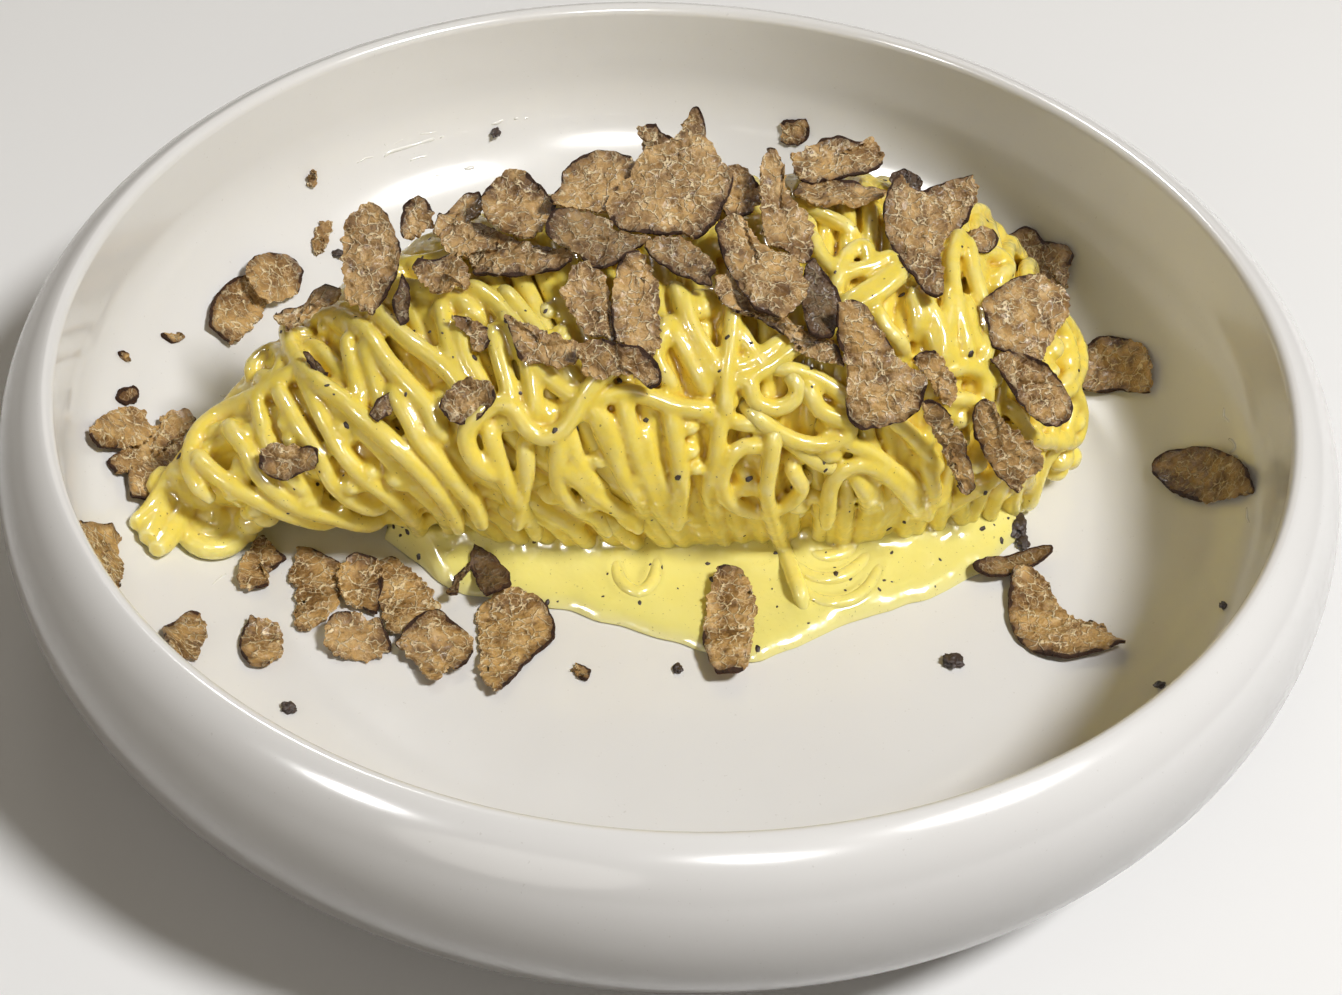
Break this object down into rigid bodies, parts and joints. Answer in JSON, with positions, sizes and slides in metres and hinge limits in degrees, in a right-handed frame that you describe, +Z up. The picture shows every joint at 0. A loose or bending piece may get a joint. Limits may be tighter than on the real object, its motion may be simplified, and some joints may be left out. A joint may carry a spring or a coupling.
{
  "type": "spaghetti carbonara in a bowl",
  "caption": "Thick-rimmed white bowl holding a long twist of creamy spaghetti carbonara in a pool of egg sauce, covered with thin shavings of truffle",
  "frame": {"origin": "middle of the bowl's foot, on the surface that it stands on", "axes": "+X runs along the heap to its blunt end, +Y to the back as the picture sees it, +Z up"},
  "size_m": [0.26, 0.26, 0.0866],
  "materials": {
    "white_glaze": "glossy white glaze",
    "creamy_noodle": "wet pale yellow pasta coated in sauce",
    "egg_sauce": "glossy lemon-yellow cream sauce",
    "truffle_flesh": "matt brown with pale veins and a dark rind"
  },
  "bodies": {
    "root": {"bowl": "white_glaze", "noodles": "creamy_noodle", "sauce": "egg_sauce", "truffle_slice_01": "truffle_flesh", "truffle_slice_02": "truffle_flesh", "truffle_slice_03": "truffle_flesh", "truffle_slice_04": "truffle_flesh", "truffle_slice_05": "truffle_flesh", "truffle_slice_06": "truffle_flesh", "truffle_slice_07": "truffle_flesh", "truffle_slice_08": "truffle_flesh", "truffle_slice_09": "truffle_flesh", "truffle_slice_10": "truffle_flesh", "truffle_slice_11": "truffle_flesh", "truffle_slice_12": "truffle_flesh", "truffle_slice_13": "truffle_flesh", "truffle_slice_14": "truffle_flesh", "truffle_slice_15": "truffle_flesh", "truffle_slice_16": "truffle_flesh", "truffle_slice_17": "truffle_flesh", "truffle_slice_18": "truffle_flesh", "truffle_slice_19": "truffle_flesh", "truffle_slice_20": "truffle_flesh", "truffle_slice_21": "truffle_flesh", "truffle_slice_22": "truffle_flesh", "truffle_slice_23": "truffle_flesh", "truffle_slice_24": "truffle_flesh", "truffle_slice_25": "truffle_flesh", "truffle_slice_26": "truffle_flesh", "truffle_slice_27": "truffle_flesh", "truffle_slice_28": "truffle_flesh", "truffle_slice_29": "truffle_flesh", "truffle_slice_30": "truffle_flesh", "truffle_slice_31": "truffle_flesh", "truffle_slice_32": "truffle_flesh", "truffle_slice_33": "truffle_flesh", "truffle_slice_34": "truffle_flesh", "truffle_slice_35": "truffle_flesh", "truffle_slice_36": "truffle_flesh", "truffle_slice_37": "truffle_flesh", "truffle_slice_38": "truffle_flesh", "truffle_slice_39": "truffle_flesh", "truffle_slice_40": "truffle_flesh", "truffle_slice_41": "truffle_flesh", "truffle_slice_42": "truffle_flesh", "truffle_slice_43": "truffle_flesh", "truffle_slice_44": "truffle_flesh", "truffle_slice_45": "truffle_flesh", "truffle_slice_46": "truffle_flesh", "truffle_slice_47": "truffle_flesh", "truffle_slice_48": "truffle_flesh", "truffle_slice_49": "truffle_flesh", "truffle_slice_50": "truffle_flesh", "truffle_slice_51": "truffle_flesh", "truffle_slice_52": "truffle_flesh", "truffle_slice_53": "truffle_flesh", "truffle_slice_54": "truffle_flesh", "truffle_slice_55": "truffle_flesh", "truffle_slice_56": "truffle_flesh"}
  },
  "joints": []
}
